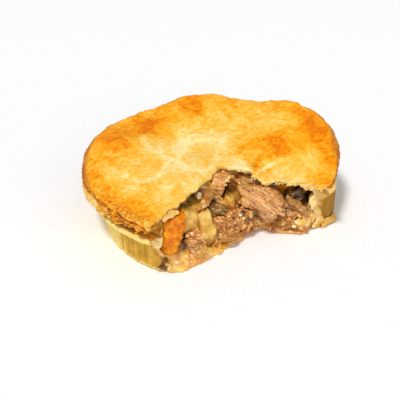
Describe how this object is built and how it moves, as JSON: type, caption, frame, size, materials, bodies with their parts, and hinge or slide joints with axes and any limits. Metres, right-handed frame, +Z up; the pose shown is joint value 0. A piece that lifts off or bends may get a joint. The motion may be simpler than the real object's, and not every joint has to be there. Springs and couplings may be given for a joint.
{
  "type": "beef pot pie",
  "caption": "Single-serving meat pie with a fluted short-crust case, a puffed golden lid and a wedge eaten away so that the slumped stew of beef and vegetables shows.",
  "frame": {"origin": "middle of the base, on the surface that the pie stands on", "axes": "+Z up out of the lid, the eaten side faces -Y and +X"},
  "size_m": [0.128, 0.1184, 0.0434],
  "materials": {
    "lid_crust": "baked puff pastry, golden with darker brown blotches, faint egg-wash sheen",
    "case_crust": "short-crust pastry, pale straw, dull",
    "gravy": "thick brown gravy, wet",
    "beef": "stewed beef, fibrous, moist",
    "potato": "boiled potato, moist",
    "carrot": "boiled carrot, moist",
    "mushroom": "stewed mushroom, dark and wet",
    "onion": "soft onion, translucent, wet"
  },
  "bodies": {
    "root": {"case": "case_crust", "lid": "lid_crust", "carrot_left": "carrot", "beef_top": "beef", "beef_slab": "beef", "potato_left": "potato", "potato_tall": "potato", "potato_middle": "potato", "mushroom_middle": "mushroom", "beef_low_middle": "beef", "beef_low_right": "beef", "beef_shred": "beef", "beef_front": "beef", "beef_back": "beef", "beef_right": "beef", "carrot_back": "carrot", "mushroom_right": "mushroom", "onion_strip": "onion", "potato_right": "potato", "filling": "gravy"}
  },
  "joints": []
}
